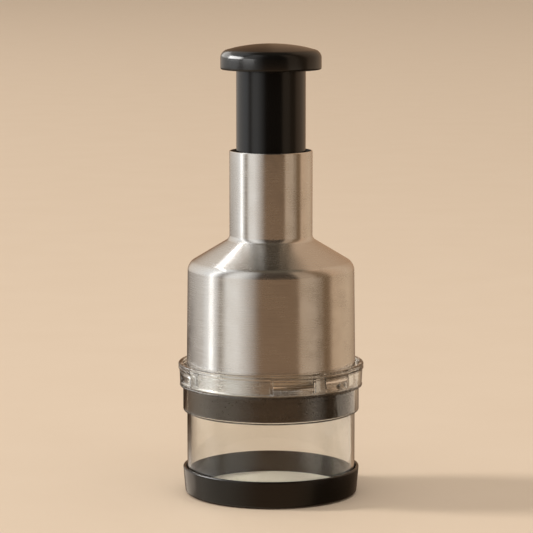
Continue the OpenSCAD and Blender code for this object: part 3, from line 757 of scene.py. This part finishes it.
def lamp(name, place, aim, size, watts, tint, lit=(), fan=180):
    """A soft rectangular lamp that looks from its place at aim, all in metres.

    A lamp without pieces in lit lights everything, and no surface mirrors it. One with pieces is a card that
    is flagged off from the rest: only those pieces mirror it. A card that fans out over few degrees fades
    toward its edges.
    """
    data = bpy.data.lights.new(name, "AREA")
    data.shape = "RECTANGLE"
    data.size, data.size_y = size
    data.energy = watts
    data.spread = math.radians(fan)
    data.color = linear(tint)[:3]
    lamp_object = bpy.data.objects.new(name, data)
    lamp_object.location = place
    lamp_object.rotation_euler = (Vector(aim) - Vector(place)).to_track_quat("-Z", "Y").to_euler()
    lamp_object.visible_glossy = bool(lit)
    bpy.context.scene.collection.objects.link(lamp_object)
    if lit:
        lamp_object.light_linking.receiver_collection = bpy.data.collections.new(name + "_lights")
        for piece in lit:
            lamp_object.light_linking.receiver_collection.objects.link(piece)


WHITE = "#fffdfa"
WARM = "#fff0de"
lamp("key", (-7.5, 0.5, 4.05), (0, 0, 0.05), (1.5, 1.5), 525, "#fff4e8")
lamp("fill", (0.2, -0.5, 1.6), (0, 0, 0.1), (1.2, 1.2), 5, "#fff8f2")
lamp("tall_card", (-1.3, -0.03, 0.45), (0, 0, 0.2), (0.2, 1.3), 0.72, WHITE, [shell])
lamp("high_card", (-0.535, 0.97, 1.27), (0, 0, 0.12), (0.5, 0.08), 0.55, "#f8faff", [shell])
lamp("bend_card", (-0.9, 0.44, 1.36), (0, 0, 0.115), (1.0, 0.1), 0.7, WHITE, [shell])
lamp("wide_card", (-1.3, 0.05, 0.58), (0, 0, 0.2), (1.0, 0.57), 30, WHITE, [knob, base_cup])
lamp("halo_card", (-0.99, 0.96, 0.68), (0, 0, 0.215), (1.1, 0.7), 4.0, WHITE, [knob])
lamp("low_card", (-1.1, -0.85, 0.3), (0, 0, 0.2), (0.7, 0.2), 1.9, WHITE, [knob])
lamp("collar_card", (-1.23, 0.33, 0.74), (0, 0, 0.06), (2.0, 0.95), 15.5, WHITE, [chamber])
lamp("left_card", (-0.82, 0.97, -0.26), (0, 0, 0.02), (0.9, 0.3), 0.7, WARM, [base_cup])
lamp("guard_card", (1.14, -0.63, -0.19), (0, 0, 0.045), (0.95, 0.35), 0.027, WARM, [chamber], fan=40)
lamp("right_card", (1.126, 0.65, -0.15), (0, 0, 0.05), (1.16, 0.3), 0.64, WARM, [chamber])

world = bpy.data.worlds.new("room")
world.use_nodes = True
bpy.context.scene.world = world
tree = world.node_tree
tree.nodes.clear()
outlook = add_node(tree, "ShaderNodeTexCoord")
way = add_node(tree, "ShaderNodeSeparateXYZ", {"Vector": outlook.outputs["Generated"]})
toward = add_node(tree, "ShaderNodeMath", {0: way.outputs["Y"], 1: -1.0}, operation="MULTIPLY")
azimuth = add_node(tree, "ShaderNodeMath", {
    0: way.outputs["X"], 1: toward.outputs["Value"],
}, operation="ARCTAN2")
share = add_node(tree, "ShaderNodeMapRange", {
    "Value": azimuth.outputs["Value"], "From Min": -math.pi, "From Max": math.pi,
})

# Rows of bands from the floor up: stops of (degrees to the right of the front, colour) round the room.
# The floor row's dark stretch from 63 to 130 degrees is painted shadow: the chopper's own shadow on the
# floor, as the base cup mirrors it.
floor_row = [
    (-165, "#6e5a49"), (-135, "#8f7b68"), (-105, "#e6d6c2"), (-60, "#dccab2"), (-20, "#b5916f"),
    (30, "#b5916f"), (55, "#9a8064"), (63, "#5a4632"), (130, "#5a4632"), (165, "#6e5a49"),
]
# The low row's dark stretch from 78 to 87 degrees is painted shadow on the floor, as the blade guard mirrors
# it.
low_row = [
    (-160, "#3a2a1e"), (-138, "#3a2a1e"), (-108, "#86725e"), (-98, "#fffaf5"), (-84, "#fffaf5"),
    (-73, "#867869"), (-62, "#f6f0e8"), (-48, "#fffaf4"), (-23, "#cfbeae"), (-12, "#bb9472"),
    (38, "#bb9472"), (43, "#f6dec4"), (72, "#f8e0c6"), (78, "#886848"), (87, "#886848"),
    (95, "#f0d4b2"), (130, "#e2c4a2"), (165, "#8a7460"),
]
high_row = [
    (-172, "#8f7055"), (-155, "#ddd0c2"), (-112, "#fcf8f3"), (-98, "#ffffff"), (-85, "#ffffff"),
    (-73, "#867c72"), (-62, "#fffcf8"), (-46, "#fffcf8"), (-17, "#4a3f36"), (36, "#453a2f"),
    (41, "#b29a82"), (63, "#b29a82"), (68, "#846b52"), (85, "#806850"), (94, "#cca98a"),
    (130, "#d4b89c"), (168, "#b08e70"),
]
rows = []
for stops in (floor_row, low_row, high_row):
    bands = add_node(tree, "ShaderNodeValToRGB", {"Fac": share.outputs["Result"]})
    elements = bands.color_ramp.elements
    while len(elements) < len(stops):
        elements.new(0.5)
    for element, (angle, _) in zip(elements, stops):
        element.position = (angle + FULL_TURN / 2) / FULL_TURN
    for element, (_, code) in zip(elements, stops):
        element.color = linear(code)
    rows.append(bands.outputs["Color"])
ceiling = linear("#675d4f")
rows.append(ceiling)

# Each row takes over from the one below it between two heights of the direction that a ray looks in.
mirrored = rows[0]
for row, (low, high) in zip(rows[1:], [(-0.215, -0.195), (-0.15, -0.06), (0.84, 0.95)]):
    rise = add_node(tree, "ShaderNodeMapRange", {
        "Value": way.outputs["Z"], "From Min": low, "From Max": high,
    }, interpolation_type="SMOOTHSTEP")
    joined = add_node(tree, "ShaderNodeMix", {
        "Factor": rise.outputs["Result"], 6: mirrored, 7: row,
    }, data_type="RGBA")
    mirrored = joined.outputs[2]
backdrop = linear("#d8cabb")
seen = add_node(tree, "ShaderNodeMix", {
    "Factor": was_mirrored(tree), 6: backdrop, 7: mirrored,
}, data_type="RGBA")
sky = add_node(tree, "ShaderNodeBackground", {"Color": seen.outputs[2], "Strength": 1.0})
add_node(tree, "ShaderNodeOutputWorld", {"Surface": sky.outputs["Background"]})
bpy.context.scene.view_settings.view_transform = "Standard"
